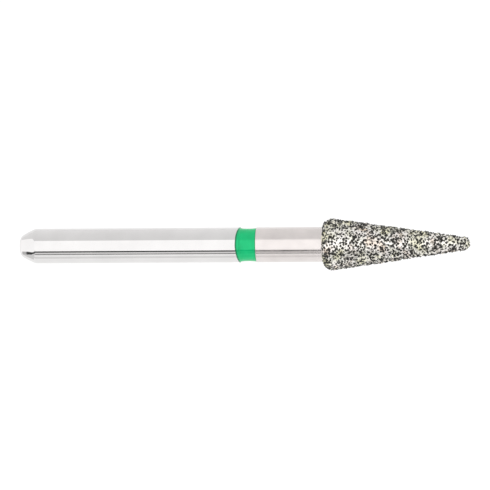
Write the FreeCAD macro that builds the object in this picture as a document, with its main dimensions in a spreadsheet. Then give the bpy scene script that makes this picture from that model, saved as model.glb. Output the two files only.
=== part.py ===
import FreeCAD, Part
import math
import os
import random

import Sketcher
from FreeCAD import Placement, Rotation, Vector

# A friction grip dental bur with a round-ended cone head, laid along X with the head towards +X.
# Stations are measured from the rear end of the shank, in millimetres.
# The origin is on the axis, in the middle of the plain part of the shank that the chuck grips.

SIZES = (
    ("shank_diameter", 1.60, "plain part that the chuck grips"),
    ("shank_length", 10.10, "rear end to the ring groove"),
    ("lead_in_length", 0.70, "rear end to where the lead-in cone meets the shank"),
    ("lead_in_angle", 27.4, "slope of the lead-in cone, degrees"),
    ("lead_in_rounding", 0.39, "radius between the lead-in cone and the shank"),
    ("nose_radius", 0.33, "rounding of the rear end"),
    ("ring_width", 0.755, "length of the ring groove"),
    ("groove_depth", 0.16, "below the shank"),
    ("lacquer_recess", 0.057, "lacquer below the shank, in the middle of the groove"),
    ("lacquer_climb", 0.025, "how much higher the lacquer stands at the groove's walls"),
    ("neck_length", 2.92, "ring groove to the head"),
    ("neck_diameter", 1.595, "over the plating"),
    ("plating_thickness", 0.025, "nickel on the neck"),
    ("head_length", 6.84, "over the grit"),
    ("head_diameter", 2.36, "over the grit, where the head is widest"),
    ("shoulder_radius", 0.58, "rounding of the head's rear, over the grit"),
    ("tip_radius", 0.324, "rounding of the head's front, over the grit"),
    ("bond_thickness", 0.097, "nickel on the head"),
    ("grit_height", 0.063, "tallest crystal, above the nickel"),
    ("grit_width", 0.166, "widest crystal, across its corners"),
    ("grit_pitch", 0.179, "mean distance between crystals"),
)

# Points of a sketch edge as constraints number them, and the origin, where the sketch's axis starts
START, END, CENTRE = range(1, 4)
ORIGIN = (-1, START)

# Proportions of the crystals, as shares of the widest and the tallest
CRYSTAL_WIDTHS = (0.8, 1.0)
CRYSTAL_HEIGHTS = (0.6, 1.0)
CRYSTAL_SQUASH = (0.75, 1.0)
CRYSTAL_CORNER_SHIFT = 0.2
CRYSTAL_TOP = (0.35, 0.6)
CRYSTAL_LEAN = 0.3
POINTED_SHARE = 0.72
POINTED_CORNER_COUNTS = (3, 4, 5)
FLAT_TOPPED_CORNER_COUNTS = (3, 4)
GOLDEN_TURN = math.pi * (3 - math.sqrt(5))
STEPS_PER_PITCH = 300
GRIT_SEED = 7

DOCUMENT = FreeCAD.newDocument("dental_bur")


def make_sheet():
    """The spreadsheet of driving dimensions, one named cell each."""
    sheet = DOCUMENT.addObject("Spreadsheet::Sheet", "sizes")
    for row, (name, value, meaning) in enumerate(SIZES, start=1):
        sheet.set(f"A{row}", name)
        sheet.set(f"B{row}", str(value))
        sheet.set(f"C{row}", meaning)
        sheet.setAlias(f"B{row}", name)
    DOCUMENT.recompute()
    return sheet


SHEET = make_sheet()


def size(name):
    """The value of a named cell."""
    return float(getattr(SHEET, name))


# Stations that several pieces share, written as expressions of the sheet
SHANK_RADIUS = "sizes.shank_diameter / 2"
NECK_STATION = "sizes.shank_length + sizes.ring_width"
NECK_CORE_RADIUS = "sizes.neck_diameter / 2 - sizes.plating_thickness"
NECK_RADIUS = "sizes.neck_diameter / 2"
GROOVE_RADIUS = "sizes.shank_diameter / 2 - sizes.groove_depth"
LACQUER_EDGE_RADIUS = "sizes.shank_diameter / 2 - sizes.lacquer_recess + sizes.lacquer_climb"
LACQUER_CURVE = "(sizes.ring_width ^ 2 / 4 + sizes.lacquer_climb ^ 2) / (2 * sizes.lacquer_climb)"
HEAD_STATION = "sizes.shank_length + sizes.ring_width + sizes.neck_length"
GRIP_CENTRE = "(sizes.lead_in_length + sizes.shank_length) / 2"
BOND_INSET = "sizes.grit_height"
CORE_INSET = "sizes.grit_height + sizes.bond_thickness"


def value_of(expression):
    """What an expression of the sheet's cells comes to."""
    return float(SHEET.evalExpression(expression))


class Profile:
    """A sketch in the plane through the axis: X along the bur, Y out from its axis."""

    def __init__(self, body, name):
        self.sketch = body.newObject("Sketcher::SketchObject", name)
        plane = next(item for item in body.Origin.OriginFeatures if item.Role == "XZ_Plane")
        self.sketch.AttachmentSupport = [(plane, "")]
        self.sketch.MapMode = "FlatFace"

    def line(self, start, end):
        """A straight edge."""
        return self.sketch.addGeometry(Part.LineSegment(Vector(*start, 0), Vector(*end, 0)))

    def loop(self, corners):
        """A closed outline of straight edges."""
        edges = [self.line(a, b) for a, b in zip(corners, corners[1:] + corners[:1])]
        for edge, following in zip(edges, edges[1:] + edges[:1]):
            self.meet(edge, END, following, START)
        return edges

    def arc(self, centre, radius, first, last):
        """A round edge, drawn anticlockwise between two directions in degrees."""
        circle = Part.Circle(Vector(*centre, 0), Vector(0, 0, 1), radius)
        return self.sketch.addGeometry(
            Part.ArcOfCircle(circle, math.radians(first), math.radians(last))
        )

    def meet(self, edge, point, other, other_point):
        """Two edges end in one point."""
        self.sketch.addConstraint(
            Sketcher.Constraint("Coincident", edge, point, other, other_point)
        )

    def flow(self, edge, point, other, other_point):
        """Two edges end in one point and run on smoothly."""
        self.sketch.addConstraint(
            Sketcher.Constraint("Tangent", edge, point, other, other_point)
        )

    def along(self, *edges):
        """Edges that run parallel to the axis."""
        for edge in edges:
            self.sketch.addConstraint(Sketcher.Constraint("Horizontal", edge))

    def across(self, *edges):
        """Edges that run square to the axis."""
        for edge in edges:
            self.sketch.addConstraint(Sketcher.Constraint("Vertical", edge))

    def on_axis(self, edge, point):
        """A point that lies on the axis."""
        self.sketch.addConstraint(
            Sketcher.Constraint("PointOnObject", edge, point, ORIGIN[0])
        )

    def bind(self, name, expression, kind, *where):
        """A dimension tied to the sheet."""
        start_value = value_of(expression)
        index = self.sketch.addConstraint(Sketcher.Constraint(kind, *where, start_value))
        self.sketch.renameConstraint(index, name)
        self.sketch.setExpression(f"Constraints.{name}", expression)

    def station(self, name, edge, point, expression):
        """How far along the bur a point lies."""
        self.bind(name, expression, "DistanceX", *ORIGIN, edge, point)

    def height(self, name, edge, point, expression):
        """How far from the axis a point lies."""
        self.bind(name, expression, "DistanceY", *ORIGIN, edge, point)

    def radius(self, name, edge, expression):
        """The radius of a round edge."""
        self.bind(name, expression, "Radius", edge)

    def slope(self, name, edge, expression):
        """The slope of a straight edge, in degrees."""
        start_value = math.radians(value_of(expression))
        index = self.sketch.addConstraint(Sketcher.Constraint("Angle", edge, start_value))
        self.sketch.renameConstraint(index, name)
        self.sketch.setExpression(f"Constraints.{name}", f"({expression}) * 1 deg")


class HeadForm:
    """The head's outline, moved inwards: a round shoulder, a cone and a round tip, all tangent."""

    def __init__(self, inset):
        moved = value_of(inset)
        rear = value_of(HEAD_STATION)
        self.shoulder = (
            rear + size("shoulder_radius"),
            size("head_diameter") / 2 - size("shoulder_radius"),
        )
        self.tip = (rear + size("head_length") - size("tip_radius"), 0.0)
        self.shoulder_radius = size("shoulder_radius") - moved
        self.tip_radius = size("tip_radius") - moved
        run = self.tip[0] - self.shoulder[0]
        drop = self.shoulder[1]
        narrowing = math.asin((self.shoulder_radius - self.tip_radius) / math.hypot(run, drop))
        self.normal = 90 - math.degrees(math.atan2(drop, run) + narrowing)

    @staticmethod
    def point(centre, radius, degrees):
        """A point on a round stretch, in the given direction from its centre."""
        turn = math.radians(degrees)
        return (centre[0] + radius * math.cos(turn), centre[1] + radius * math.sin(turn))

    def leaves(self, radius):
        """The direction in which the shoulder crosses a given radius, at its rear."""
        return 180 - math.degrees(math.asin((radius - self.shoulder[1]) / self.shoulder_radius))

    def draw(self, profile, label, inset, first):
        """Add the outline to a profile from the direction where the shoulder starts."""
        shoulder = profile.arc(self.shoulder, self.shoulder_radius, self.normal, first)
        cone = profile.line(
            self.point(self.shoulder, self.shoulder_radius, self.normal),
            self.point(self.tip, self.tip_radius, self.normal),
        )
        tip = profile.arc(self.tip, self.tip_radius, 0, self.normal)
        profile.flow(shoulder, START, cone, START)
        profile.flow(cone, END, tip, END)
        profile.on_axis(tip, START)
        profile.on_axis(tip, CENTRE)
        profile.station(
            f"{label}_shoulder_station", shoulder, CENTRE, f"{HEAD_STATION} + sizes.shoulder_radius"
        )
        profile.height(
            f"{label}_shoulder_height", shoulder, CENTRE,
            "sizes.head_diameter / 2 - sizes.shoulder_radius",
        )
        profile.radius(f"{label}_shoulder_radius", shoulder, f"sizes.shoulder_radius - ({inset})")
        profile.station(
            f"{label}_tip_station", tip, CENTRE,
            f"{HEAD_STATION} + sizes.head_length - sizes.tip_radius",
        )
        profile.radius(f"{label}_tip_radius", tip, f"sizes.tip_radius - ({inset})")
        return shoulder, cone, tip

    def draw_chords(self, profile, label, inset, first):
        """Add the outline as a lathe leaves it under a coat: straight cuts between its round ends."""
        shoulder, cone, tip = self.draw(profile, label, inset, first)
        for guide in (shoulder, tip):
            profile.sketch.setConstruction(guide, True)
        middle = self.point(self.shoulder, self.shoulder_radius, (first + self.normal) / 2)
        rear_cut = profile.line(self.point(self.shoulder, self.shoulder_radius, first), middle)
        top_cut = profile.line(middle, self.point(self.shoulder, self.shoulder_radius, self.normal))
        front_cut = profile.line(
            self.point(self.tip, self.tip_radius, self.normal),
            self.point(self.tip, self.tip_radius, 0),
        )
        profile.meet(rear_cut, START, shoulder, END)
        profile.meet(rear_cut, END, top_cut, START)
        profile.meet(top_cut, END, cone, START)
        profile.meet(front_cut, START, cone, END)
        profile.meet(front_cut, END, tip, START)
        profile.sketch.addConstraint(Sketcher.Constraint("PointOnObject", rear_cut, END, shoulder))
        profile.sketch.addConstraint(Sketcher.Constraint("Equal", rear_cut, top_cut))
        return rear_cut, front_cut


def new_body(name):
    """An empty body, placed so that the middle of the grip is the origin."""
    body = DOCUMENT.addObject("PartDesign::Body", name)
    body.Label = name
    body.setExpression(".Placement.Base.x", f"-({GRIP_CENTRE})")
    return body


def turn(body, kind, profile, name):
    """Turn a profile all round the axis, adding to the body or cutting from it."""
    feature = body.newObject(kind, name)
    feature.Profile = profile.sketch
    feature.ReferenceAxis = (profile.sketch, ["H_Axis"])
    feature.Angle = 360
    body.Tip = feature
    DOCUMENT.recompute()
    return feature


def make_blank():
    """The turned steel: shank, ring groove, neck and the cone inside the head."""
    body = new_body("steel_blank")
    profile = Profile(body, "blank_profile")
    shank = value_of(SHANK_RADIUS)
    neck_start = value_of(NECK_STATION)
    neck = value_of(NECK_CORE_RADIUS)
    nose = size("nose_radius")
    slope = size("lead_in_angle")
    lead_end = size("lead_in_length")
    form = HeadForm(CORE_INSET)
    leave = form.leaves(neck)
    tip_end = form.tip[0] + form.tip_radius

    flat = profile.line((0, 0), (0, nose / 2))
    rounding = profile.arc((nose, nose / 2), nose, 90 + slope, 180)
    lead_in = profile.line((nose, nose), (lead_end, shank))
    blend = profile.arc((lead_end, shank - nose), nose, 90, 90 + slope)
    grip = profile.line((lead_end, shank), (neck_start, shank))
    step = profile.line((neck_start, shank), (neck_start, neck))
    neck_line = profile.line((neck_start, neck), form.point(form.shoulder, form.shoulder_radius, leave))
    rear_cut, front_cut = form.draw_chords(profile, "core", CORE_INSET, leave)
    axis = profile.line((tip_end, 0), (0, 0))

    profile.across(flat, step)
    profile.along(grip, neck_line)
    profile.meet(flat, START, *ORIGIN)
    profile.flow(flat, END, rounding, END)
    profile.flow(rounding, START, lead_in, START)
    profile.flow(lead_in, END, blend, END)
    profile.flow(blend, START, grip, START)
    profile.meet(grip, END, step, START)
    profile.meet(step, END, neck_line, START)
    profile.meet(neck_line, END, rear_cut, START)
    profile.meet(front_cut, END, axis, START)
    profile.meet(axis, END, *ORIGIN)
    corner = profile.sketch.addGeometry(Part.Point(Vector(lead_end, shank, 0)))
    profile.sketch.addConstraint(Sketcher.Constraint("PointOnObject", corner, START, lead_in))
    profile.station("lead_in_length", corner, START, "sizes.lead_in_length")
    profile.height("lead_in_height", corner, START, SHANK_RADIUS)
    profile.slope("lead_in_angle", lead_in, "sizes.lead_in_angle")
    profile.radius("lead_in_rounding", blend, "sizes.lead_in_rounding")
    profile.radius("nose_radius", rounding, "sizes.nose_radius")
    profile.height("shank_radius", grip, END, SHANK_RADIUS)
    profile.station("neck_station", grip, END, NECK_STATION)
    profile.height("neck_radius", neck_line, START, NECK_CORE_RADIUS)
    turned = turn(body, "PartDesign::Revolution", profile, "turned_blank")
    solid_volume = turned.Shape.Volume

    groove = groove_profile(body)
    turn(body, "PartDesign::Groove", groove, "ring_groove")
    if body.Shape.Volume >= solid_volume:
        raise RuntimeError("the ring groove cut nothing")
    return body


def groove_profile(body):
    """The ring groove's section, open at the shank's surface."""
    profile = Profile(body, "groove_profile")
    rear = size("shank_length")
    front = value_of(NECK_STATION)
    floor = value_of(GROOVE_RADIUS)
    top = value_of(SHANK_RADIUS) + size("groove_depth")
    corners = ((rear, floor), (front, floor), (front, top), (rear, top))
    bottom, front_wall, lid, rear_wall = profile.loop(corners)
    profile.along(bottom, lid)
    profile.across(front_wall, rear_wall)
    profile.station("groove_rear", bottom, START, "sizes.shank_length")
    profile.station("groove_front", bottom, END, NECK_STATION)
    profile.height("groove_floor", bottom, START, GROOVE_RADIUS)
    profile.height("groove_top", lid, START, f"{SHANK_RADIUS} + sizes.groove_depth")
    return profile


def make_ring():
    """The lacquer in the groove, a little below the shank, with a hollow surface between the walls."""
    body = new_body("colour_ring")
    profile = Profile(body, "ring_profile")
    rear = size("shank_length")
    front = value_of(NECK_STATION)
    middle = (rear + front) / 2
    floor = value_of(GROOVE_RADIUS)
    edge = value_of(LACQUER_EDGE_RADIUS)
    curve = value_of(LACQUER_CURVE)
    swing = math.degrees(math.asin((front - rear) / 2 / curve))
    hollow_centre = (middle, edge + math.sqrt(curve ** 2 - (middle - rear) ** 2))

    bottom = profile.line((rear, floor), (front, floor))
    front_wall = profile.line((front, floor), (front, edge))
    hollow = profile.arc(hollow_centre, curve, 270 - swing, 270 + swing)
    rear_wall = profile.line((rear, edge), (rear, floor))
    profile.along(bottom)
    profile.across(front_wall, rear_wall)
    profile.meet(bottom, END, front_wall, START)
    profile.meet(front_wall, END, hollow, END)
    profile.meet(hollow, START, rear_wall, START)
    profile.meet(rear_wall, END, bottom, START)
    profile.station("ring_rear", bottom, START, "sizes.shank_length")
    profile.station("ring_front", bottom, END, NECK_STATION)
    profile.height("ring_floor", bottom, START, GROOVE_RADIUS)
    profile.height("rear_edge", hollow, START, LACQUER_EDGE_RADIUS)
    profile.height("front_edge", hollow, END, LACQUER_EDGE_RADIUS)
    profile.radius("lacquer_curve", hollow, LACQUER_CURVE)
    turn(body, "PartDesign::Revolution", profile, "lacquer")
    return body


def make_bond():
    """The nickel: thin over the neck, thick over the head, with the steel's shape inside."""
    body = new_body("nickel_bond")
    profile = Profile(body, "bond_profile")
    neck_start = value_of(NECK_STATION)
    outside = value_of(NECK_RADIUS)
    inside = value_of(NECK_CORE_RADIUS)
    outer = HeadForm(BOND_INSET)
    inner = HeadForm(CORE_INSET)
    outer_leave = outer.leaves(outside)
    inner_leave = inner.leaves(inside)

    rear_edge = profile.line((neck_start, inside), (neck_start, outside))
    neck_line = profile.line(
        (neck_start, outside), outer.point(outer.shoulder, outer.shoulder_radius, outer_leave)
    )
    shoulder, _, tip = outer.draw(profile, "bond", BOND_INSET, outer_leave)
    front = profile.line((outer.tip[0] + outer.tip_radius, 0), (inner.tip[0] + inner.tip_radius, 0))
    rear_cut, front_cut = inner.draw_chords(profile, "core", CORE_INSET, inner_leave)
    core_neck = profile.line(
        inner.point(inner.shoulder, inner.shoulder_radius, inner_leave), (neck_start, inside)
    )

    profile.across(rear_edge)
    profile.along(neck_line, core_neck)
    profile.meet(rear_edge, END, neck_line, START)
    profile.meet(neck_line, END, shoulder, END)
    profile.meet(tip, START, front, START)
    profile.meet(front, END, front_cut, END)
    profile.meet(rear_cut, START, core_neck, START)
    profile.meet(core_neck, END, rear_edge, START)
    profile.station("neck_station", rear_edge, START, NECK_STATION)
    profile.height("neck_core_radius", rear_edge, START, NECK_CORE_RADIUS)
    profile.height("neck_radius", rear_edge, END, NECK_RADIUS)
    turn(body, "PartDesign::Revolution", profile, "plating")
    return body


def nickel_outline(form, step):
    """Walk along the nickel's outline where crystals find room: station, radius and normal.

    The walk starts half a crystal away from the neck and ends one pitch before the tip.
    """
    shoulder_turn = math.degrees(step / form.shoulder_radius)
    degrees = form.leaves(value_of(NECK_RADIUS) + size("grit_width") / 2)
    while degrees > form.normal:
        yield (*form.point(form.shoulder, form.shoulder_radius, degrees), degrees)
        degrees -= shoulder_turn
    start = Vector(*form.point(form.shoulder, form.shoulder_radius, form.normal), 0)
    end = Vector(*form.point(form.tip, form.tip_radius, form.normal), 0)
    length = (end - start).Length
    travelled = 0.0
    while travelled < length:
        place = start + (end - start) * (travelled / length)
        yield (place.x, place.y, form.normal)
        travelled += step
    tip_turn = math.degrees(step / form.tip_radius)
    tip_gap = math.degrees(size("grit_pitch") / form.tip_radius)
    degrees = form.normal
    while degrees > tip_gap:
        yield (*form.point(form.tip, form.tip_radius, degrees), degrees)
        degrees -= tip_turn


def crystal(foot, normal, chance):
    """One crystal above the nickel: a flat base on its surface and a smaller top or a point."""
    pointed = chance.random() < POINTED_SHARE
    corners = chance.choice(POINTED_CORNER_COUNTS if pointed else FLAT_TOPPED_CORNER_COUNTS)
    reach = size("grit_width") / 2 * chance.uniform(*CRYSTAL_WIDTHS)
    height = size("grit_height") * chance.uniform(*CRYSTAL_HEIGHTS)
    squash = chance.uniform(*CRYSTAL_SQUASH)
    top_share = 0.0 if pointed else chance.uniform(*CRYSTAL_TOP)
    room = reach * squash * CRYSTAL_LEAN
    lean = Vector(chance.uniform(-room, room), chance.uniform(-room, room), height)
    turns = [
        math.tau * (corner + chance.uniform(-CRYSTAL_CORNER_SHIFT, CRYSTAL_CORNER_SHIFT)) / corners
        for corner in range(corners)
    ]
    base = [Vector(reach * math.cos(turn), reach * squash * math.sin(turn), 0) for turn in turns]
    spin = Rotation(Vector(0, 0, 1), chance.uniform(0, 360))
    place = Placement(foot, Rotation(Vector(0, 0, 1), normal).multiply(spin))
    lower = [place.multVec(point) for point in base]
    upper = [place.multVec(point * top_share + lean) for point in base]
    outlines = [lower[::-1]]
    if pointed:
        outlines += [[lower[i - 1], lower[i], upper[i]] for i in range(corners)]
    else:
        outlines += [[lower[i - 1], lower[i], upper[i], upper[i - 1]] for i in range(corners)]
        outlines.append(upper)
    faces = [Part.Face(Part.makePolygon(outline + outline[:1])) for outline in outlines]
    return Part.makeSolid(Part.makeShell(faces))


def make_grit():
    """The crystals: one on the tip, the rest on a spiral that gives each the same area."""
    chance = random.Random(GRIT_SEED)
    form = HeadForm(BOND_INSET)
    cell = size("grit_pitch") ** 2
    step = size("grit_pitch") / STEPS_PER_PITCH
    tip = Vector(form.tip[0] + form.tip_radius, 0, 0)
    crystals = [crystal(tip, Vector(1, 0, 0), chance)]
    area = 0.0
    for station, radius, degrees in nickel_outline(form, step):
        area += math.tau * radius * step
        if area < cell:
            continue
        area -= cell
        around = Rotation(Vector(1, 0, 0), math.degrees(len(crystals) * GOLDEN_TURN))
        tilt = math.radians(degrees)
        foot = around.multVec(Vector(station, 0, radius))
        normal = around.multVec(Vector(math.cos(tilt), 0, math.sin(tilt)))
        crystals.append(crystal(foot, normal, chance))
    grit = DOCUMENT.addObject("Part::Feature", "diamond_grit")
    grit.Label = "diamond_grit"
    grit.Shape = Part.makeCompound(crystals)
    grit.Placement = Placement(Vector(-value_of(GRIP_CENTRE), 0, 0), Rotation())
    return grit


def check(pieces):
    """Stop if any object failed or any piece is empty or broken."""
    for item in DOCUMENT.Objects:
        if "Invalid" in item.State or "Error" in item.State:
            raise RuntimeError(f"{item.Label} failed")
    for piece in pieces:
        if piece.Shape.isNull() or not piece.Shape.isValid():
            raise RuntimeError(f"{piece.Label} has no valid shape")


def main():
    """Build the bur and write one file for each piece."""
    pieces = [make_blank(), make_ring(), make_bond(), make_grit()]
    DOCUMENT.recompute()
    check(pieces)
    os.makedirs("parts", exist_ok=True)
    for piece in pieces:
        piece.Shape.exportStep(f"parts/{piece.Label}.step")


main()
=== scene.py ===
import math
import random
from itertools import product

import bmesh
import bpy
from bpy.props import FloatProperty, FloatVectorProperty, IntProperty, PointerProperty
from bpy.types import Operator, Panel, PropertyGroup
from mathutils import Euler, Matrix, Vector
from mathutils.kdtree import KDTree


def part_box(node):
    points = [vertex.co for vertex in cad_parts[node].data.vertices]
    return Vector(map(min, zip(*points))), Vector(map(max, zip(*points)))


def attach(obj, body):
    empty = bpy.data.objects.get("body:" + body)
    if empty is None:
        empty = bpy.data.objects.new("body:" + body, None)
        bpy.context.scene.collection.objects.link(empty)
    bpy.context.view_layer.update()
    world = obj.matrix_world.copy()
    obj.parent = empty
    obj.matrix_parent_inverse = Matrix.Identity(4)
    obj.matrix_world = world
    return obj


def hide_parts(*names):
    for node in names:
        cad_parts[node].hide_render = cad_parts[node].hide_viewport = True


bl_info = {
    "name": "Dental Bur",
    "version": (1, 0, 0),
    "blender": (4, 5, 0),
    "location": "3D View > Sidebar > Bur",
    "description": "Builds a friction grip bur with a cone head covered in diamond grit",
    "category": "Add Mesh",
}

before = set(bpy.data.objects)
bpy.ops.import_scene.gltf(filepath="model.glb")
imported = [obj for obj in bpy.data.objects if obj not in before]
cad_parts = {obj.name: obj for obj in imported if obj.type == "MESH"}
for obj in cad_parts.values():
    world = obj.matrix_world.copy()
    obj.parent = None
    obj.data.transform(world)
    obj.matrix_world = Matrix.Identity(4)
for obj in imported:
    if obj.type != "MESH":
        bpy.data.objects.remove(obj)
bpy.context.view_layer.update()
BLANK_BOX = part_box("steel_blank")
RING_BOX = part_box("colour_ring")
NICKEL_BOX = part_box("nickel_bond")
GRIT_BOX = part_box("diamond_grit")

# The pieces are worked in millimetres and brought to metres when they are finished.
MM = 0.001
FULL_TURN = math.tau
AXIS = Vector((1, 0, 0))
ACROSS = Vector((0, 1, 0))

# In a turned mesh, points nearer than this are merged and edges shorter than this go.
SEAM_GAP = 1e-5
SHORTEST_EDGE = 1e-6

# Steel: the core starts to widen this share of the shoulder's rounding behind its middle, and
# the lead-in's lean is found in so many halvings.
CORE_FOOT = 0.9
LEAN_TRIES = 40

# Lacquer: the hollow's ends and the film's slope off the edge, in millimetres. Points nearer
# to a wall or the floor of the groove than NEAR belong to it.
NEAR = 0.02
HOLLOW_REAR = 0.06
HOLLOW_FRONT = 0.02
HOLLOW_FRONT_RISE = 0.9
LAP_FOOT = 0.03
LAP_FOOT_RISE = 0.006
HOLLOW_REAR_DROP = 0.004
# The lap's uneven end: waves round the axis, their height, and the least that they weigh.
LAP_SEED = 5
LAP_WAVES = (3, 5, 9, 14)
LAP_WAVE_HEIGHT = 0.012
LAP_WAVE_LEAST = 0.3
# How fast the lap narrows away from its middle, and what is left of it all round.
LAP_TAPER = 1.3
LAP_LEAST = 0.05
# How far the film's second and third line stay behind its end. The rim's painted shade fades
# between.
SECOND_LINE = 0.045
THIRD_LINE = 0.09
# How dark the painted shade on the rim is at the groove's rear wall, where the lap is short, and
# at the front.
WALL_RIM_SHADE_FADE = 0.12
WALL_RIM_SHADE = 0.9
WALL_RIM_SHADE_LEAST = 0.15
FRONT_RIM_SHADE = 0.6

# Nickel: the neck's thickness, its edge at the ring, and the fillet up to the shoulder.
NECK_PLATING = 0.025
NECK_EDGE = 0.006
FILLET = 0.05
FILLET_MIDDLE = 0.35
FILLET_END = 0.04
# The coat is lumpy from this far behind the head on. Its inner wall there stays smooth, and
# begins this far past the same place.
LUMPS_START = 0.01
WALL_START = 0.09
# How wide and how steeply the nickel is drawn up round a grain's foot, how many grains count,
# how far it sinks between them and how high its slow waves are, as shares of the climb.
CLIMB_WIDTH = 1.05
CLIMB_POWER = 4
CLIMB_GRAINS = 3
CLIMB_SINK = 0.25
WAVE_SHARE = 0.35
POLE_RADIUS = 1e-6

# The scatter: the first grain's place on the outline in millimetres, misses in a row that
# end it, and the half width of a grain as a share of the gap to the next one.
FIRST_GRAIN = 0.05
MISSES_TO_STOP = 900
GRAIN_TO_GAP = 0.70
GRAIN_REACHES = (0.8, 1.0)

# Shapes of the grains, cut from blocks that are about two units wide.
BLOCK_SIZE = 1.5
BLOCK_COUNT = 14
BLOCK_CUTS = (7, 9)
CUT_DEPTHS = (0.62, 0.82)
CUT_ACCURACY = 1e-4
BLOCK_MERGE = 0.03
BLOCK_REACH = 0.78
GRAIN_STRETCHES = (0.82, 1.15)
GRAIN_HEIGHTS = (0.35, 1.0)
GRAIN_DRAW_IN = 1.5

# Painted light on the facets from 0, painted shade, to 1, painted glint, and how much the shaded
# ones look outward.
CLEAR_GLINT_TONES = (0.5, 1.0)
TONE_CURVE = 0.8
SHADE_OUTWARD = 0.4

# The cards along the bur that the turned metal mirrors, of which the soft box also lights it.
# Name, degrees below the camera, degrees that the card takes up, distance and length in
# metres, brightness.
LIGHTING_CARD = "soft_box"
LONG_CARDS = (
    (LIGHTING_CARD, 0.5, 69, 0.25, 2.4, 1.34),
    ("dark_card", 39.6, 9.2, 0.12, 1.2, 0.06),
    ("grey_card", 49.9, 11.4, 0.12, 1.2, 0.86),
    ("thin_card", 57.9, 4.6, 0.12, 1.2, 0.1),
    ("low_card", 82, 17, 0.02, 1.2, 0.9),
)
# The cards behind the rear end that the lead-in mirrors. Name, station in metres, corners
# in millimetres towards the camera and below that direction, brightness.
END_CARDS = (
    ("end_shade", -0.0140, ((3.3, 5.7), (7, 7.9), (-0.75, 8.6), (7, 9.9)), 0.07),
    ("end_edge", -0.0140, ((7, 7.9), (26, 19), (7, 12.8), (26, 27)), 0.07),
    ("end_grey", -0.0141, ((-1.5, 5.7), (3.4, 5.8), (-5, 8.4), (-0.7, 8.7)), 0.6),
    ("end_low", -0.0142, ((-5, 8.0), (26, 14), (-7, 17), (26, 28)), 0.8),
    ("end_light", -0.0143, ((-4.5, -5.5), (20, -13.6), (-4.5, 12), (28, 21)), 1.3),
)
# Half the floor's width in metres, and the camera's sensor in millimetres.
FLOOR_REACH = 3.0
SENSOR_WIDTH = 36


# Settings


class BurBlankSettings(PropertyGroup):
    """The turned steel blank."""

    shank_radius: FloatProperty(
        name="Shank radius", description="Plain part that the chuck grips",
        default=0.0008, min=0.0004, max=0.002, unit="LENGTH", precision=6,
    )
    nose_radius: FloatProperty(
        name="Nose rounding", description="Rounding of the rear end",
        default=0.00033, min=0.00005, max=0.0006, unit="LENGTH", precision=6,
    )
    lead_in_length: FloatProperty(
        name="Lead-in length", description="Rear end to where the lead-in cone meets the shank",
        default=0.0007, min=0.0003, max=0.002, unit="LENGTH", precision=6,
    )
    lead_in_angle: FloatProperty(
        name="Lead-in angle", description="Slope of the lead-in cone",
        default=math.radians(27.4), min=0.1, max=1.2, subtype="ANGLE",
    )
    lead_in_swell: FloatProperty(
        name="Lead-in swell", description="Radius of the lead-in's faint bulge along the axis",
        default=0.0035, min=0.001, max=0.1, unit="LENGTH", precision=6,
    )
    lead_in_rounding: FloatProperty(
        name="Lead-in rounding", description="Radius between the lead-in cone and the shank",
        default=0.00039, min=0.00005, max=0.002, unit="LENGTH", precision=6,
    )
    groove_depth: FloatProperty(
        name="Groove depth", description="Ring groove below the shank",
        default=0.00016, min=0.00005, max=0.0003, unit="LENGTH", precision=6,
    )
    edge_break: FloatProperty(
        name="Edge break", description="Rounding of the groove's edges",
        default=0.00001, min=0.000002, max=0.00005, unit="LENGTH", precision=6,
    )
    core_radius: FloatProperty(
        name="Neck core radius", description="Steel under the neck's plating",
        default=0.0007725, min=0.0003, max=0.002, unit="LENGTH", precision=6,
    )
    segments: IntProperty(
        name="Facets round the axis", description="Facets of the turned steel",
        default=160, min=24, max=256,
    )


class BurRingSettings(PropertyGroup):
    """The coloured lacquer in the groove."""

    hollow_radius: FloatProperty(
        name="Middle radius", description="Lacquer radius in the middle of the groove",
        default=0.000743, min=0.0004, max=0.002, unit="LENGTH", precision=6,
    )
    edge_radius: FloatProperty(
        name="Edge radius", description="Lacquer radius at the groove's walls",
        default=0.000768, min=0.0004, max=0.002, unit="LENGTH", precision=6,
    )
    film: FloatProperty(
        name="Film", description="Thickness of the lacquer that laps over the shank's edge",
        default=0.000008, min=0.000002, max=0.00003, unit="LENGTH", precision=6,
    )
    lap: FloatProperty(
        name="Lap",
        description="How far the lacquer laps over the shank's edge where it laps most",
        default=0.00016, min=0, max=0.0004, unit="LENGTH", precision=6,
    )
    lap_direction: FloatProperty(
        name="Lap direction", description="Turn about the axis to the middle of the lap",
        default=math.radians(62), subtype="ANGLE",
    )
    segments: IntProperty(
        name="Facets round the axis", description="Facets of the lacquer",
        default=192, min=24, max=256,
    )


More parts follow.
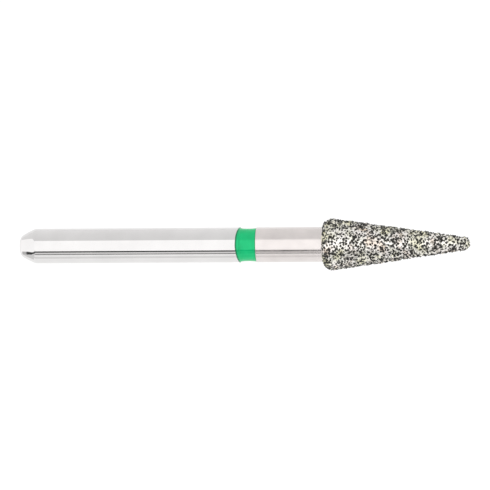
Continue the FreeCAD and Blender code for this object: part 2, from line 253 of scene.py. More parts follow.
class BurHeadSettings(PropertyGroup):
    """The nickel over neck and head, and the diamond grit in it."""

    neck_radius: FloatProperty(
        name="Neck radius", description="Neck over its plating",
        default=0.0007975, min=0.0003, max=0.002, unit="LENGTH", precision=6,
    )
    shoulder_station: FloatProperty(
        name="Shoulder station", description="Centre of the shoulder's rounding along the axis",
        default=0.008955, unit="LENGTH", precision=6,
    )
    shoulder_height: FloatProperty(
        name="Shoulder height", description="Centre of the shoulder's rounding from the axis",
        default=0.0006, min=0, unit="LENGTH", precision=6,
    )
    shoulder_radius: FloatProperty(
        name="Shoulder rounding", description="Rounding of the head's rear, nickel only",
        default=0.000517, min=0.0001, unit="LENGTH", precision=6,
    )
    tip_radius: FloatProperty(
        name="Tip rounding", description="Rounding of the head's front, nickel only",
        default=0.000261, min=0.0001, unit="LENGTH", precision=6,
    )
    bond_thickness: FloatProperty(
        name="Nickel thickness", description="Nickel over the steel of the head",
        default=0.000097, min=0.00002, max=0.0003, unit="LENGTH", precision=6,
    )
    climb: FloatProperty(
        name="Nickel climb", description="How high the nickel climbs round a grain",
        default=0.000016, min=0, max=0.00006, unit="LENGTH", precision=6,
    )
    grain_spacing: FloatProperty(
        name="Grain spacing", description="Smallest distance between the middles of two grains",
        default=0.000099, min=0.00005, max=0.0005, unit="LENGTH", precision=6,
    )
    grain_reach: FloatProperty(
        name="Grain reach", description="Half the width of the largest grain",
        default=0.000076, min=0.00002, max=0.0003, unit="LENGTH", precision=6,
    )
    grain_stand: FloatProperty(
        name="Grain height", description="How far the tallest grain stands above the nickel",
        default=0.000084, min=0.00002, max=0.00015, unit="LENGTH", precision=6,
    )
    clear_share: FloatProperty(
        name="Clear grains", description="Share of the grains that are clear and pale",
        default=0.07, min=0, max=1, subtype="FACTOR",
    )
    grain_seed: IntProperty(
        name="Grain seed", description="Another number scatters the grains another way",
        default=11, min=0,
    )
    segments: IntProperty(
        name="Facets round the axis", description="Facets of the plated head",
        default=200, min=48, max=256,
    )


class BurFinishSettings(PropertyGroup):
    """Colours of the finishes."""

    steel: FloatVectorProperty(
        name="Steel", description="Ground and polished steel",
        subtype="COLOR", size=4, min=0, max=1, default=(0.72, 0.708, 0.704, 1),
    )
    lacquer: FloatVectorProperty(
        name="Lacquer", description="Colour of the grit's mark",
        subtype="COLOR", size=4, min=0, max=1, default=(0.003, 0.48, 0.17, 1),
    )
    # Painted shade for the lacquer's rims, not a colour that the lacquer has.
    lacquer_rim_shade: FloatVectorProperty(
        name="Lacquer rim", description="Lacquer where it ends in a thin dark line",
        subtype="COLOR", size=4, min=0, max=1, default=(0.010, 0.20, 0.085, 1),
    )
    nickel: FloatVectorProperty(
        name="Nickel", description="Plated nickel",
        subtype="COLOR", size=4, min=0, max=1, default=(0.70, 0.655, 0.64, 1),
    )
    # Painted shade: the darkest facets stand in for the dark bond seen through the clear stone.
    diamond_painted_shade: FloatVectorProperty(
        name="Diamond, dark", description="Darkest facets of the grains",
        subtype="COLOR", size=4, min=0, max=1, default=(0.012, 0.012, 0.009, 1),
    )
    # Painted glint: the lightest facets stand in for flashes of light inside the stone.
    diamond_painted_glint: FloatVectorProperty(
        name="Diamond, light", description="Lightest facets of the grains",
        subtype="COLOR", size=4, min=0, max=1, default=(0.44, 0.433, 0.408, 1),
    )


class BurStageSettings(PropertyGroup):
    """Floor, lights and camera."""

    floor_drop: FloatProperty(
        name="Floor", description="Floor below the axis",
        default=0.014, min=0.002, unit="LENGTH",
    )
    ceiling_light: FloatProperty(
        name="Ceiling light", description="Brightness of the studio overhead",
        default=0.90, min=0,
    )
    horizon_light: FloatProperty(
        name="Wall light", description="Brightness of the studio's walls at floor level",
        default=1.0, min=0,
    )
    camera_distance: FloatProperty(
        name="Camera distance", description="Camera to the middle of the picture",
        default=0.30, min=0.02, unit="LENGTH",
    )
    camera_lens: FloatProperty(
        name="Lens", description="Focal length in millimetres on a sensor 36 mm wide",
        default=484.5, min=10,
    )
    camera_height: FloatProperty(
        name="Camera elevation", description="Elevation of the camera above the horizon",
        default=math.radians(60), subtype="ANGLE",
    )
    camera_lead: FloatProperty(
        name="Camera lead", description="Turn of the camera towards the head",
        default=math.radians(6), subtype="ANGLE",
    )
    camera_roll: FloatProperty(
        name="Camera roll", description="Turn of the picture",
        default=math.radians(-0.34), subtype="ANGLE",
    )
    aim_station: FloatProperty(
        name="Aim station", description="Point of the axis under the middle of the picture",
        default=0.004912, unit="LENGTH",
    )
    aim_drop: FloatProperty(
        name="Aim drop", description="How far the aim lies below the axis in the picture",
        default=0.000005, unit="LENGTH",
    )


# Turning


def turn_start(station, radius):
    """A new mesh with the first point of a section, in millimetres."""
    work = bmesh.new()
    return work, bmesh.ops.create_vert(work, co=(station, 0, radius))["vert"][0]


def turn_straight(work, end, station, radius, cuts=0):
    """Run the section on to a point, cut into equal steps."""
    start = end.co.copy()
    goal = Vector((station, 0, radius))
    for step in range(1, cuts + 2):
        end = bmesh.ops.extrude_vert_indiv(work, verts=[end])["verts"][0]
        end.co = start.lerp(goal, step / (cuts + 1))
    return end


def turn_through(work, end, *points):
    """Run the section on through points, each a station, a radius and the cuts before it."""
    for station, radius, cuts in points:
        end = turn_straight(work, end, station, radius, cuts)
    return end


def turn_round(work, end, centre, degrees, steps):
    """Run the section on round a centre; a positive turn goes from the radius towards the tip."""
    swept = bmesh.ops.spin(
        work, geom=[end], cent=(centre[0], 0, centre[1]), axis=ACROSS, dvec=(0, 0, 0),
        angle=math.radians(degrees), steps=steps, use_duplicate=False, use_merge=False,
    )
    return next(item for item in swept["geom_last"] if isinstance(item, bmesh.types.BMVert))


def turn_close(work, segments):
    """Spin the section round the axis and close its poles."""
    section = work.verts[:] + work.edges[:]
    bmesh.ops.spin(
        work, geom=section, cent=(0, 0, 0), axis=AXIS, dvec=(0, 0, 0),
        angle=FULL_TURN, steps=segments, use_duplicate=False, use_merge=True,
    )
    bmesh.ops.remove_doubles(work, verts=work.verts, dist=SEAM_GAP)
    bmesh.ops.dissolve_degenerate(work, edges=work.edges, dist=SHORTEST_EDGE)
    bmesh.ops.recalc_face_normals(work, faces=work.faces)


def finish_piece(work, name, material, smooth=True):
    """Bring a worked mesh to metres and make an object of it that rides on the root."""
    bmesh.ops.scale(work, vec=(MM, MM, MM), verts=work.verts)
    mesh = bpy.data.meshes.new(name)
    work.to_mesh(mesh)
    work.free()
    for face in mesh.polygons:
        face.use_smooth = smooth
    mesh.materials.append(material)
    piece = bpy.data.objects.new(name, mesh)
    bpy.context.scene.collection.objects.link(piece)
    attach(piece, "root")
    return piece


# The head's outline


class HeadOutline:
    """Round shoulder, cone and round tip, all tangent, in millimetres."""

    def __init__(self, head, inset=0.0):
        self.centre = (head.shoulder_station / MM, head.shoulder_height / MM)
        self.shoulder = head.shoulder_radius / MM - inset
        self.tip = head.tip_radius / MM - inset
        self.tip_centre = (NICKEL_BOX[1].x / MM - head.tip_radius / MM, 0.0)
        self.crown = self.centre[1] + self.shoulder
        self.foot = self.centre[0] - self.shoulder * CORE_FOOT
        run = self.tip_centre[0] - self.centre[0]
        drop = self.centre[1]
        narrowing = math.asin((self.shoulder - self.tip) / math.hypot(run, drop))
        self.facing = math.pi / 2 - math.atan2(drop, run) - narrowing
        self.cone = math.sqrt(run ** 2 + drop ** 2 - (self.shoulder - self.tip) ** 2)
        leaves = (head.neck_radius / MM - self.centre[1]) / self.shoulder
        self.first = math.pi - math.asin(leaves)
        self.lengths = (
            self.shoulder * (self.first - self.facing), self.cone, self.tip * self.facing,
        )

    def place(self, along):
        """Station, radius and direction of the normal, so far along the outline from the neck."""
        shoulder, cone, _ = self.lengths
        if along < shoulder:
            turn = self.first - along / self.shoulder
            return (
                self.centre[0] + self.shoulder * math.cos(turn),
                self.centre[1] + self.shoulder * math.sin(turn),
                turn,
            )
        if along < shoulder + cone:
            share = (along - shoulder) / cone
            radius = self.shoulder + (self.tip - self.shoulder) * share
            middle = self.centre[0] + (self.tip_centre[0] - self.centre[0]) * share
            height = self.centre[1] * (1 - share)
            return (
                middle + radius * math.cos(self.facing),
                height + radius * math.sin(self.facing),
                self.facing,
            )
        turn = max(0.0, self.facing - (along - shoulder - cone) / self.tip)
        return (
            self.tip_centre[0] + self.tip * math.cos(turn), self.tip * math.sin(turn), turn,
        )


def near_tree(points):
    """A tree that finds the nearest of some points."""
    tree = KDTree(len(points))
    for index, point in enumerate(points):
        tree.insert(point, index)
    tree.balance()
    return tree


def scatter_grains(head):
    """Feet, normals and reaches of the grains: random, and no two nearer than their spacing."""
    chance = random.Random(head.grain_seed)
    outline = HeadOutline(head)
    length = sum(outline.lengths)
    spacing = head.grain_spacing / MM
    widest = NICKEL_BOX[1].z / MM
    cells = {}

    def cell_of(point):
        return tuple(math.floor(value / spacing) for value in point)

    def crowded(point):
        x, y, z = cell_of(point)
        return any(
            (other - point).length < spacing
            for i, j, k in product((-1, 0, 1), repeat=3)
            for other in cells.get((x + i, y + j, z + k), ())
        )

    feet = []
    misses = 0
    while misses < MISSES_TO_STOP:
        along = chance.uniform(FIRST_GRAIN, length)
        station, radius, turn = outline.place(along)
        if chance.random() * widest > radius:
            continue
        around = chance.uniform(0, FULL_TURN)
        out = Vector((0, math.cos(around), math.sin(around)))
        foot = Vector((station, 0, 0)) + out * radius
        if crowded(foot):
            misses += 1
            continue
        misses = 0
        cells.setdefault(cell_of(foot), []).append(foot)
        feet.append((foot, AXIS * math.cos(turn) + out * math.sin(turn)))
    tree = near_tree([foot for foot, _ in feet])
    widest_grain = head.grain_reach / MM
    grains = []
    for foot, normal in feet:
        _, _, gap = tree.find_n(foot, 2)[1]
        reach = min(widest_grain, gap * GRAIN_TO_GAP) * chance.uniform(*GRAIN_REACHES)
        grains.append((foot, normal, reach))
    return grains


# Finishes


class Finish:
    """A node material with one Principled shader, built up node by node."""

    def __init__(self, name):
        self.material = bpy.data.materials.new(name)
        self.material.use_nodes = True
        self.nodes = self.material.node_tree.nodes
        self.links = self.material.node_tree.links
        self.shader = self.nodes["Principled BSDF"]
        self.place = self.nodes.new("ShaderNodeTexCoord").outputs["Object"]

    def constant(self, **values):
        """Numbers and colours that are the same all over, on the shader's own sockets."""
        for name, value in values.items():
            self.shader.inputs[name.replace("_", " ")].default_value = value

    def stretched(self, scale):
        """Object coordinates scaled along each axis."""
        mapping = self.nodes.new("ShaderNodeMapping")
        mapping.inputs["Scale"].default_value = scale
        self.links.new(self.place, mapping.inputs["Vector"])
        return mapping.outputs["Vector"]

    def noise(self, scale, detail, rough, place=None):
        """Noise of so many grains to the metre."""
        node = self.nodes.new("ShaderNodeTexNoise")
        node.inputs["Scale"].default_value = scale
        node.inputs["Detail"].default_value = detail
        node.inputs["Roughness"].default_value = rough
        self.links.new(place or self.place, node.inputs["Vector"])
        return node.outputs["Fac"]

    def ramp(self, value, stops):
        """A colour ramp over a value."""
        node = self.nodes.new("ShaderNodeValToRGB")
        ramp = node.color_ramp
        while len(ramp.elements) < len(stops):
            ramp.elements.new(0.5)
        for element, (position, colour) in zip(ramp.elements, stops):
            element.position = position
            element.color = (*colour, 1)
        self.links.new(value, node.inputs["Fac"])
        return node.outputs["Color"]

    def spread(self, value, given, wanted):
        """A value moved from one range to another."""
        node = self.nodes.new("ShaderNodeMapRange")
        for side, limits in (("From", given), ("To", wanted)):
            node.inputs[f"{side} Min"].default_value = limits[0]
            node.inputs[f"{side} Max"].default_value = limits[1]
        self.links.new(value, node.inputs["Value"])
        return node.outputs["Result"]

    def feed(self, socket, value):
        """Link a value to a socket, or set the socket where the value is plain."""
        if isinstance(value, bpy.types.NodeSocket):
            self.links.new(value, socket)
        else:
            socket.default_value = value

    def reckon(self, operation, first, second):
        """Two values joined by arithmetic; the second may be a plain number."""
        node = self.nodes.new("ShaderNodeMath")
        node.operation = operation
        for socket, value in zip(node.inputs, (first, second)):
            self.feed(socket, value)
        return node.outputs["Value"]

    def mix(self, factor, first, second, blend="MIX"):
        """Two colours mixed; the factor and the second colour may be plain."""
        node = self.nodes.new("ShaderNodeMix")
        node.data_type = "RGBA"
        node.blend_type = blend
        for name, value in (("Factor", factor), ("A", first), ("B", second)):
            self.feed(node.inputs[name], value)
        return node.outputs["Result"]

    def attribute(self, name):
        """A value that the mesh carries."""
        node = self.nodes.new("ShaderNodeAttribute")
        node.attribute_name = name
        return node.outputs["Fac"]

    def stain(self, colour):
        """A colour with faint olive and brown patches, as old bath salts leave them."""
        tint = self.ramp(self.noise(1100, detail=2, rough=0.5), (
            (0.34, (0.88, 0.87, 0.70)), (0.46, (0.97, 0.97, 0.93)),
            (0.56, (0.98, 0.96, 0.95)), (0.68, (0.90, 0.80, 0.72)),
        ))
        return self.mix(1.0, colour, tint, "MULTIPLY")

    def bump(self, height, strength, distance):
        """Relief of so many metres, on the shader's normal."""
        node = self.nodes.new("ShaderNodeBump")
        node.inputs["Strength"].default_value = strength
        node.inputs["Distance"].default_value = distance
        self.links.new(height, node.inputs["Height"])
        self.links.new(node.outputs["Normal"], self.shader.inputs["Normal"])

    def drive(self, socket, value):
        """Link a value to one of the shader's sockets."""
        self.links.new(value, self.shader.inputs[socket])


def shade(colour, factor):
    """A colour made darker or lighter."""
    return tuple(min(1.0, channel * factor) for channel in colour[:3])


def ground_steel(finish):
    """Steel ground between wheels: fine lines round the shank, a few light drag marks."""
    steel = Finish("ground_steel")
    steel.constant(Metallic=1.0)
    lines = steel.noise(9000, detail=4, rough=0.6, place=steel.stretched((6, 0.25, 0.25)))
    marks = steel.noise(1400, detail=2, rough=0.5, place=steel.stretched((0.25, 6, 6)))
    clouds = steel.noise(900, detail=2, rough=0.5)
    steel.drive("Base Color", steel.ramp(clouds, (
        (0.25, shade(finish.steel, 0.96)), (0.75, shade(finish.steel, 1.03)),
    )))
    steel.drive("Roughness", steel.reckon(
        "ADD", steel.spread(lines, (0.3, 0.7), (0.02, 0.06)),
        steel.spread(marks, (0.5, 0.8), (0.0, 0.03)),
    ))
    steel.bump(lines, strength=0.25, distance=0.0000012)
    return steel.material


def ring_lacquer(finish):
    """Brushed-on lacquer: gloss, a little uneven, with painted shade on its rims where the edges
    turn away.
    """
    lacquer = Finish("ring_lacquer")
    lacquer.constant(Metallic=0.25, Roughness=0.12, IOR=1.4)
    clouds = lacquer.noise(2600, detail=3, rough=0.5)
    dents = lacquer.noise(5200, detail=2, rough=0.4)
    body = lacquer.ramp(clouds, (
        (0.3, shade(finish.lacquer, 0.92)), (0.7, shade(finish.lacquer, 1.06)),
    ))
    # Painted shade: the lacquer is painted darker along its rims, where the edges turn away from
    # the light.
    rim = lacquer.attribute("painted_edge_shade")
    lacquer.drive("Base Color", lacquer.mix(rim, body, finish.lacquer_rim_shade))
    lacquer.bump(dents, strength=0.3, distance=0.000004)
    return lacquer.material


def plated_nickel(finish):
    """Nickel as it comes from the bath: satin on the neck, knobbly between the grains, with
    painted shade in the knobs' hollows.
    """
    nickel = Finish("plated_nickel")
    nickel.constant(Metallic=1.0)
    lumps = nickel.noise(26000, detail=3, rough=0.6)
    rings = nickel.noise(7000, detail=3, rough=0.6, place=nickel.stretched((5, 0.4, 0.4)))
    clouds = nickel.noise(1500, detail=2, rough=0.5)
    on_head = nickel.attribute("on_head")
    body = nickel.ramp(clouds, (
        (0.25, shade(finish.nickel, 0.95)), (0.75, shade(finish.nickel, 1.04)),
    ))
    # Painted shade: the nickel is painted darker where the lumps that the bump raises sink low.
    shaded_in_hollows = nickel.ramp(lumps, ((0.3, (0.87, 0.85, 0.825)), (0.7, (0.96, 0.94, 0.915))))
    nickel.drive("Base Color", nickel.mix(on_head, body, nickel.stain(shaded_in_hollows)))
    nickel.drive("Roughness", nickel.reckon(
        "ADD", nickel.spread(clouds, (0.3, 0.7), (0.14, 0.20)),
        nickel.reckon("MULTIPLY", on_head, 0.14),
    ))
    relief = nickel.reckon(
        "ADD", nickel.reckon("MULTIPLY", rings, 0.35),
        nickel.reckon("MULTIPLY", lumps, nickel.spread(on_head, (0.0, 1.0), (0.25, 3.2))),
    )
    nickel.bump(relief, strength=0.5, distance=0.000004)
    return nickel.material


def diamond_grain(finish):
    """Diamond: glassy facets with painted light, nearly half of them in painted shade and the rest
    with painted glints, a little olive.
    """
    diamond = Finish("diamond_grain")
    diamond.constant(Metallic=0.0, IOR=1.4)
    # Painted light: each facet's tone paints shade or a glint into the diamond's colour.
    tone = diamond.attribute("facet_painted_light")
    cast = diamond.attribute("grain_cast")
    grain = diamond.noise(30000, detail=3, rough=0.6)
    body = diamond.ramp(tone, (
        (0.0, finish.diamond_painted_shade[:3]),
        (0.53, shade(finish.diamond_painted_glint, 0.05)),
        (0.63, shade(finish.diamond_painted_glint, 0.75)),
        (0.80, shade(finish.diamond_painted_glint, 2.15)),
    ))
    olive = diamond.spread(cast, (0.0, 1.0), (0.0, 0.9))
    body = diamond.mix(olive, body, (1.0, 0.985, 0.93, 1), "MULTIPLY")
    diamond.drive("Base Color", diamond.stain(body))
    diamond.drive("Roughness", diamond.spread(grain, (0.35, 0.65), (0.08, 0.3)))
    diamond.bump(grain, strength=0.2, distance=0.000002)
    return diamond.material


# Pieces


def lead_in_lean(whole, nose, swell, blend, slope):
    """Degrees that the swell leans to either side of the slope, so that the three arcs fit."""
    low, high = 0.0, math.degrees(slope)
    for _ in range(LEAN_TRIES):
        lean = (low + high) / 2
        steep, flat = slope + math.radians(lean), slope - math.radians(lean)
        run = (
            nose * (1 - math.sin(steep)) + swell * (math.sin(steep) - math.sin(flat))
            + blend * math.sin(flat)
        )
        low, high = (lean, high) if run < whole else (low, lean)
    return lean


class BUR_OT_turn_blank(Operator):
    """Turn the steel blank: rounded rear end, lead-in cone, shank, ring groove, neck and core."""

    bl_idname = "bur.turn_blank"
    bl_label = "Turn the blank"

    def execute(self, context):
        blank = context.scene.bur_blank
        head = context.scene.bur_head
        rear, tip = BLANK_BOX[0].x / MM, BLANK_BOX[1].x / MM
        ring_rear, ring_front = RING_BOX[0].x / MM, RING_BOX[1].x / MM
        shank = blank.shank_radius / MM
        floor = shank - blank.groove_depth / MM
        neck = blank.core_radius / MM
        edge = blank.edge_break / MM
        nose = blank.nose_radius / MM
        swell = blank.lead_in_swell / MM
        blend = blank.lead_in_rounding / MM
        slope = blank.lead_in_angle
        core = HeadOutline(head, head.bond_thickness / MM)

        whole = blank.lead_in_length / MM + blend * math.tan(slope / 2)
        lean = lead_in_lean(whole, nose, swell, blend, slope)
        steep, flat = math.degrees(slope) + lean, math.degrees(slope) - lean
        arcs = ((nose, 90, steep, 12), (swell, steep, flat, 8), (blend, flat, 0, 8))
        flat_end = shank - sum(
            radius * (math.cos(math.radians(after)) - math.cos(math.radians(before)))
            for radius, before, after, _ in arcs
        )
        work, end = turn_start(rear, 0)
        end = turn_straight(work, end, rear, flat_end, cuts=3)
        for radius, before, after, steps in arcs:
            centre = (
                end.co.x + radius * math.sin(math.radians(before)),
                end.co.z - radius * math.cos(math.radians(before)),
            )
            end = turn_round(work, end, centre, before - after, steps)
        end = turn_straight(work, end, ring_rear - edge, shank, cuts=40)
        end = turn_round(work, end, (ring_rear - edge, shank - edge), 90, steps=4)
        turn_through(
            work, end,
            (ring_rear, floor, 0), (ring_front, floor, 2), (ring_front, neck, 0),
            (core.foot, neck, 4), (core.centre[0], core.crown, 2),
            (core.tip_centre[0], core.tip, 6), (tip, 0, 1),
        )
        turn_close(work, blank.segments)
        piece = finish_piece(work, "bur_blank", ground_steel(context.scene.bur_finish))
        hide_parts("steel_blank")
        return {"FINISHED"}


class BUR_OT_fill_ring(Operator):
    """Fill the groove with lacquer that laps a little over the shank's edge on one side."""

    bl_idname = "bur.fill_ring"
    bl_label = "Fill the ring"

    def execute(self, context):
        ring = context.scene.bur_ring
        blank = context.scene.bur_blank
        rear, front = RING_BOX[0].x / MM, RING_BOX[1].x / MM
        hollow_rear, hollow_front = rear + HOLLOW_REAR, front - HOLLOW_FRONT
        shank = blank.shank_radius / MM
        floor = shank - blank.groove_depth / MM
        edge = ring.edge_radius / MM
        hollow = ring.hollow_radius / MM
        climb = edge - hollow
        film = ring.film / MM
        above_floor = floor + NEAR

        work, end = turn_start(rear, floor)
        end = turn_through(
            work, end,
            (rear, shank, 0), (rear - film, shank, 0), (rear - film, shank + film / 2, 0),
            (rear - film / 2, shank + film, 0), (rear - film / 4, shank + film, 0),
            (rear + film, shank + film, 0), (rear + LAP_FOOT, edge + LAP_FOOT_RISE, 2),
            (hollow_rear, edge - HOLLOW_REAR_DROP, 2),
            (hollow_front, hollow + climb * HOLLOW_FRONT_RISE, 24),
        )
        for vert in work.verts:
            if hollow_rear < vert.co.x < hollow_front and vert.co.z > above_floor:
                share = (vert.co.x - (rear + front) / 2) / ((front - rear) / 2)
                vert.co.z = hollow + climb * share ** 2
        turn_through(work, end, (front, edge, 0), (front, floor, 0), (rear, floor, 2))
        turn_close(work, ring.segments)

        lap = ring.lap / MM
        chance = random.Random(LAP_SEED)
        phases = [(count, chance.uniform(0, FULL_TURN)) for count in LAP_WAVES]

        def lap_at(around):
            """How far the lacquer laps over the shank at a turn about the axis."""
            away = abs((around - ring.lap_direction + math.pi) % FULL_TURN - math.pi)
            waves = sum(math.sin(count * around + phase) / count for count, phase in phases)
            share = max(0.0, math.cos(min(away, math.pi / 2)))
            reach = lap * (share ** LAP_TAPER + LAP_LEAST)
            return max(0.0, reach + LAP_WAVE_HEIGHT * waves * (LAP_WAVE_LEAST + share))

        # The film's lines are told apart half-way between where they were turned.
        first, second, third = (rear - film * share for share in (0.75, 0.375, 0.125))
        # Painted shade: the film's rims and the groove's walls are marked for a darker lacquer
        # colour where the edges turn away.
        edge_shade = work.verts.layers.float.new("painted_edge_shade")
        for vert in work.verts:
            station = vert.co.x
            radius = math.hypot(vert.co.y, vert.co.z)
            reach = lap_at(math.atan2(vert.co.z, -vert.co.y))
            on_shank = radius > shank - film
            if on_shank and station < first:
                vert.co.x -= reach
                vert[edge_shade] = 1.0
            elif on_shank and station < second:
                vert.co.x -= max(0.0, reach - SECOND_LINE)
                vert[edge_shade] = 1.0
            elif on_shank and station < third:
                vert.co.x -= max(0.0, reach - THIRD_LINE)
                vert[edge_shade] = max(0.0, 1.0 - reach / THIRD_LINE)
            elif on_shank and station < rear + NEAR:
                vert[edge_shade] = max(WALL_RIM_SHADE_LEAST, WALL_RIM_SHADE - reach / WALL_RIM_SHADE_FADE)
            elif station > hollow_front and radius > above_floor:
                vert[edge_shade] = FRONT_RIM_SHADE
        piece = finish_piece(work, "bur_ring", ring_lacquer(context.scene.bur_finish))
        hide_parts("colour_ring")
        return {"FINISHED"}


def slow_wave(station, radius):
    """A slow wave over the plating, from -1 to 1."""
    return math.sin(station * 31 + 3 * math.sin(radius * 40))


class BUR_OT_plate_nickel(Operator):
    """Plate the neck and the head, with the nickel drawn up round each grain."""

    bl_idname = "bur.plate_nickel"
    bl_label = "Plate the nickel"

    def execute(self, context):
        head = context.scene.bur_head
        outline = HeadOutline(head)
        core = HeadOutline(head, head.bond_thickness / MM)
        rear = NICKEL_BOX[0].x / MM
        neck = head.neck_radius / MM
        inside = neck - NECK_PLATING
        neck_end, _, _ = outline.place(0)

        work, end = turn_start(rear, inside)
        end = turn_straight(work, end, rear, neck - NECK_EDGE)
        end = turn_round(work, end, (rear + NECK_EDGE, neck - NECK_EDGE), 90, steps=3)
        station, radius, turn = outline.place(FILLET_END)
        end = turn_through(
            work, end,
            (neck_end - FILLET, neck, 60),
            (neck_end - FILLET * FILLET_MIDDLE, neck + NECK_EDGE, 0),
            (station, radius, 0),
        )
        sweep = math.degrees(turn - outline.facing)
        end = turn_round(work, end, outline.centre, sweep, steps=24)
        station, radius, _ = outline.place(outline.lengths[0] + outline.lengths[1])
        end = turn_straight(work, end, station, radius, cuts=190)
        sweep = math.degrees(outline.facing)
        end = turn_round(work, end, outline.tip_centre, sweep, steps=10)
        end.co.z = 0
        turn_through(
            work, end,
            (core.tip_centre[0] + core.tip, 0, 0), (core.tip_centre[0], core.tip, 2),
            (core.centre[0], core.crown, 6), (core.foot, inside, 2), (rear, inside, 6),
        )
        turn_close(work, head.segments)

        grains = scatter_grains(head)
        tree = near_tree([foot for foot, _, _ in grains])
        climb = head.climb / MM
        on_head = work.verts.layers.float.new("on_head")
        work.normal_update()
        shifts = []
        for vert in work.verts:
            x, y, z = vert.co
            inward = vert.normal.dot(Vector((x - outline.centre[0], y, z))) < 0
            if x < neck_end - LUMPS_START or inward and x > neck_end + WALL_START:
                continue
            rise = sum(
                math.exp(-((distance / (grains[index][2] * CLIMB_WIDTH)) ** CLIMB_POWER)) * climb
                for _, index, distance in tree.find_n(vert.co, CLIMB_GRAINS)
            )
            rise += climb * WAVE_SHARE * slow_wave(x, math.hypot(y, z))
            vert[on_head] = 1.0
            shifts.append((vert, vert.normal * (rise - climb * CLIMB_SINK)))
        for vert, shift in shifts:
            if abs(vert.co.y) + abs(vert.co.z) > POLE_RADIUS:
                vert.co += shift
        piece = finish_piece(work, "bur_nickel", plated_nickel(context.scene.bur_finish))
        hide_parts("nickel_bond")
        return {"FINISHED"}


def grain_block(chance):
    """One block of grit: a cube cut down by a few random planes, so that no face is square."""
    block = bmesh.new()
    bmesh.ops.create_cube(block, size=BLOCK_SIZE)
    for _ in range(chance.randint(*BLOCK_CUTS)):
        normal = Vector([chance.gauss(0, 1) for _ in range(3)]).normalized()
        cut = bmesh.ops.bisect_plane(
            block, geom=block.verts[:] + block.edges[:] + block.faces[:], dist=CUT_ACCURACY,
            plane_co=normal * chance.uniform(*CUT_DEPTHS), plane_no=normal, clear_outer=True,
        )
        rim = [item for item in cut["geom_cut"] if isinstance(item, bmesh.types.BMEdge)]
        if rim:
            bmesh.ops.edgeloop_fill(block, edges=rim)
    bmesh.ops.remove_doubles(block, verts=block.verts, dist=BLOCK_MERGE)
    bmesh.ops.recalc_face_normals(block, faces=block.faces)
    block.faces.layers.float.new("facet_painted_light")
    block.faces.layers.float.new("grain_cast")
    return block


def random_turn(chance):
    """A turn about all three axes."""
    return Euler([chance.uniform(0, FULL_TURN) for _ in range(3)]).to_matrix()


def paint_facet_light(mesh, shape, normal, clear, chance):
    """Paint a grain's facets with painted shade and painted glints, the painted shade mostly on
    the outward facets.
    """
    faces = len(mesh.polygons)
    tones = sorted(
        chance.uniform(*CLEAR_GLINT_TONES) if clear else ((rank + chance.random()) / faces) ** TONE_CURVE
        for rank in range(faces)
    )
    outward = sorted(mesh.polygons, reverse=True, key=lambda face: (
        (shape @ face.normal).normalized().dot(normal) * SHADE_OUTWARD + chance.random()
    ))
    for face, tone in zip(outward, tones):
        mesh.attributes["facet_painted_light"].data[face.index].value = tone
    mesh.attributes["grain_cast"].data.foreach_set("value", [chance.random()] * faces)


class BUR_OT_set_grit(Operator):
    """Set the diamond grains in the nickel."""

    bl_idname = "bur.set_grit"
    bl_label = "Set the grit"

    def execute(self, context):
        head = context.scene.bur_head
        chance = random.Random(head.grain_seed + 1)
        blocks = []
        for number in range(BLOCK_COUNT):
            block = grain_block(chance)
            mesh = bpy.data.meshes.new(f"grain_{number}")
            block.to_mesh(mesh)
            block.free()
            blocks.append(mesh)
        work = bmesh.new()
        stand = head.grain_stand / MM
        low, high = (corner / MM for corner in GRIT_BOX)
        for foot, normal, reach in scatter_grains(head):
            mesh = chance.choice(blocks)
            # A clear grain gets only pale tones, so all of its facets are painted as glints.
            clear = chance.random() < head.clear_share
            turn = random_turn(chance)
            stretch = Matrix.Diagonal(Vector([chance.uniform(*GRAIN_STRETCHES) for _ in range(3)]))
            shape = (turn @ stretch @ random_turn(chance)) * (reach / BLOCK_REACH)
            paint_facet_light(mesh, shape, normal, clear, chance)
            tallest = max((shape @ vert.co).dot(normal) for vert in mesh.vertices)
            centre = foot - normal * (tallest - stand * chance.uniform(*GRAIN_HEIGHTS))
            start = len(work.verts)
            work.from_mesh(mesh)
            work.verts.ensure_lookup_table()
            corners = [centre + shape @ vert.co for vert in mesh.vertices]
            # A grain that would pass the grit's own box is drawn in.
            over = max(max(*(corner - high), *(low - corner)) for corner in corners)
            sunk = normal * max(0.0, over * GRAIN_DRAW_IN)
            for vert, corner in zip(work.verts[start:], corners):
                vert.co = corner - sunk
        for mesh in blocks:
            bpy.data.meshes.remove(mesh)
        piece = finish_piece(
            work, "bur_grit", diamond_grain(context.scene.bur_finish), smooth=False,
        )
        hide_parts("diamond_grit")
        return {"FINISHED"}


# Stage


def glow(name, brightness):
    """A plain lit surface for the stage."""
    material = bpy.data.materials.new(name)
    material.use_nodes = True
    nodes = material.node_tree.nodes
    nodes.clear()
    light = nodes.new("ShaderNodeEmission")
    light.inputs["Color"].default_value = (1, 1, 1, 1)
    light.inputs["Strength"].default_value = brightness
    output = nodes.new("ShaderNodeOutputMaterial")
    material.node_tree.links.new(light.outputs["Emission"], output.inputs["Surface"])
    return material


def stage_sheet(name, corners, material):
    """A flat four-cornered sheet of the stage, corners in metres."""
    work = bmesh.new()
    bmesh.ops.create_grid(work, x_segments=1, y_segments=1, size=1)
    for vert in work.verts:
        vert.co = corners[2 * (vert.co.y > 0) + (vert.co.x > 0)]
    mesh = bpy.data.meshes.new(name)
    work.to_mesh(mesh)
    work.free()
    mesh.materials.append(material)
    sheet = bpy.data.objects.new(name, mesh)
    bpy.context.scene.collection.objects.link(sheet)
    return sheet


def hang_card(name, corners, brightness):
    """A bright or dark card that shows in reflections, of which one also lights the bur."""
    sheet = stage_sheet(name, corners, glow(f"{name}_face", brightness))
    sheet.visible_camera = False
    sheet.visible_shadow = False
    sheet.visible_diffuse = name == LIGHTING_CARD


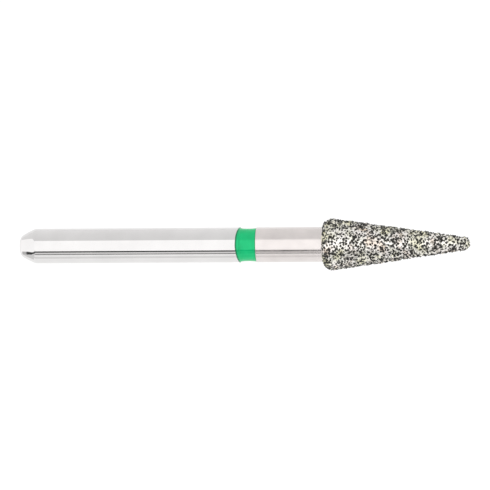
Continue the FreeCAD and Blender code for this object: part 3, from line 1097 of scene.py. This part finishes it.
def along_bur(toward, below, height, distance, length):
    """Corners of a card parallel to the bur, so many degrees below the camera."""
    facing = Matrix.Rotation(math.radians(below), 3, AXIS) @ toward
    across = AXIS.cross(facing).normalized()
    half = distance * math.tan(math.radians(height) / 2)
    return [
        facing * distance + AXIS * (sx * length / 2) + across * (sy * half)
        for sy in (-1, 1) for sx in (-1, 1)
    ]


def behind_bur(toward, station, corners):
    """Corners of a card square to the axis."""
    down = AXIS.cross(toward)
    return [Vector((station, 0, 0)) + (toward * a + down * b) * MM for a, b in corners]


def light_studio(scene, stage):
    """A pale studio all round, a little darker overhead than at the walls."""
    world = bpy.data.worlds.new("studio")
    scene.world = world
    world.use_nodes = True
    nodes, links = world.node_tree.nodes, world.node_tree.links
    parts = nodes.new("ShaderNodeSeparateXYZ")
    links.new(nodes.new("ShaderNodeTexCoord").outputs["Generated"], parts.inputs["Vector"])
    fall = nodes.new("ShaderNodeMapRange")
    fall.inputs["To Min"].default_value = stage.horizon_light
    fall.inputs["To Max"].default_value = stage.ceiling_light
    links.new(parts.outputs["Z"], fall.inputs["Value"])
    sky = nodes["Background"]
    sky.inputs["Color"].default_value = (1, 1, 1, 1)
    links.new(fall.outputs["Result"], sky.inputs["Strength"])


def place_camera(scene, stage):
    """The camera at the photograph's angle, a long way off with a long lens."""
    lead, height = stage.camera_lead, stage.camera_height
    toward = Vector((
        math.sin(lead), -math.cos(lead) * math.cos(height), math.cos(lead) * math.sin(height),
    ))
    right = (AXIS - toward * AXIS.dot(toward)).normalized()
    up = toward.cross(right)
    roll = Matrix.Rotation(stage.camera_roll, 3, toward)
    right, up = roll @ right, roll @ up
    aim = Vector((stage.aim_station, 0, 0)) - up * stage.aim_drop
    lens = bpy.data.cameras.new("picture")
    lens.sensor_width = SENSOR_WIDTH
    lens.lens = stage.camera_lens
    lens.clip_start = 0.001
    lens.clip_end = 20
    camera = bpy.data.objects.new("picture", lens)
    scene.collection.objects.link(camera)
    camera.matrix_world = Matrix.Translation(aim + toward * stage.camera_distance) @ Matrix(
        (right, up, toward)
    ).transposed().to_4x4()
    scene.camera = camera


class BUR_OT_set_stage(Operator):
    """Lay the floor, light the studio, hang the cards, and place the camera."""

    bl_idname = "bur.set_stage"
    bl_label = "Set the stage"

    def execute(self, context):
        scene = context.scene
        stage = scene.bur_stage
        scene.view_settings.view_transform = "Standard"
        scene.view_settings.look = "None"

        floor = Finish("pale_floor")
        floor.constant(Roughness=0.9)
        floor.drive("Base Color", floor.ramp(floor.noise(40, detail=2, rough=0.5), (
            (0.0, (0.94, 0.94, 0.94)), (1.0, (0.97, 0.97, 0.97)),
        )))
        stage_sheet("floor", [
            Vector((x * FLOOR_REACH, y * FLOOR_REACH, -stage.floor_drop))
            for y in (-1, 1) for x in (-1, 1)
        ], floor.material)
        light_studio(scene, stage)

        height = stage.camera_height
        toward = Vector((0, -math.cos(height), math.sin(height)))
        for name, below, wide, distance, length, brightness in LONG_CARDS:
            hang_card(name, along_bur(toward, below, wide, distance, length), brightness)
        for name, station, corners, brightness in END_CARDS:
            hang_card(name, behind_bur(toward, station, corners), brightness)
        place_camera(scene, stage)
        return {"FINISHED"}


class BUR_PT_make(Panel):
    """The steps in order, with their sizes and colours."""

    bl_idname = "BUR_PT_make"
    bl_label = "Dental bur"
    bl_space_type = "VIEW_3D"
    bl_region_type = "UI"
    bl_category = "Bur"

    def draw(self, context):
        layout = self.layout
        for operator in MAKERS:
            layout.operator(operator.bl_idname)
        for name in SETTINGS:
            group = getattr(context.scene, name)
            box = layout.box()
            for item in group.bl_rna.properties:
                if item.identifier not in ("rna_type", "name"):
                    box.prop(group, item.identifier)


MAKERS = (
    BUR_OT_turn_blank, BUR_OT_fill_ring, BUR_OT_plate_nickel, BUR_OT_set_grit, BUR_OT_set_stage,
)
SETTINGS = {
    "bur_blank": BurBlankSettings,
    "bur_ring": BurRingSettings,
    "bur_head": BurHeadSettings,
    "bur_finish": BurFinishSettings,
    "bur_stage": BurStageSettings,
}


def register():
    for group in SETTINGS.values():
        bpy.utils.register_class(group)
    for name, group in SETTINGS.items():
        setattr(bpy.types.Scene, name, PointerProperty(type=group))
    for operator in MAKERS:
        bpy.utils.register_class(operator)
    bpy.utils.register_class(BUR_PT_make)


def unregister():
    bpy.utils.unregister_class(BUR_PT_make)
    for operator in reversed(MAKERS):
        bpy.utils.unregister_class(operator)
    for name, group in SETTINGS.items():
        delattr(bpy.types.Scene, name)
        bpy.utils.unregister_class(group)


def main():
    """Make the bur and its stage."""
    register()
    bpy.ops.bur.turn_blank()
    bpy.ops.bur.fill_ring()
    bpy.ops.bur.plate_nickel()
    bpy.ops.bur.set_grit()
    bpy.ops.bur.set_stage()


if __name__ == "__main__":
    main()
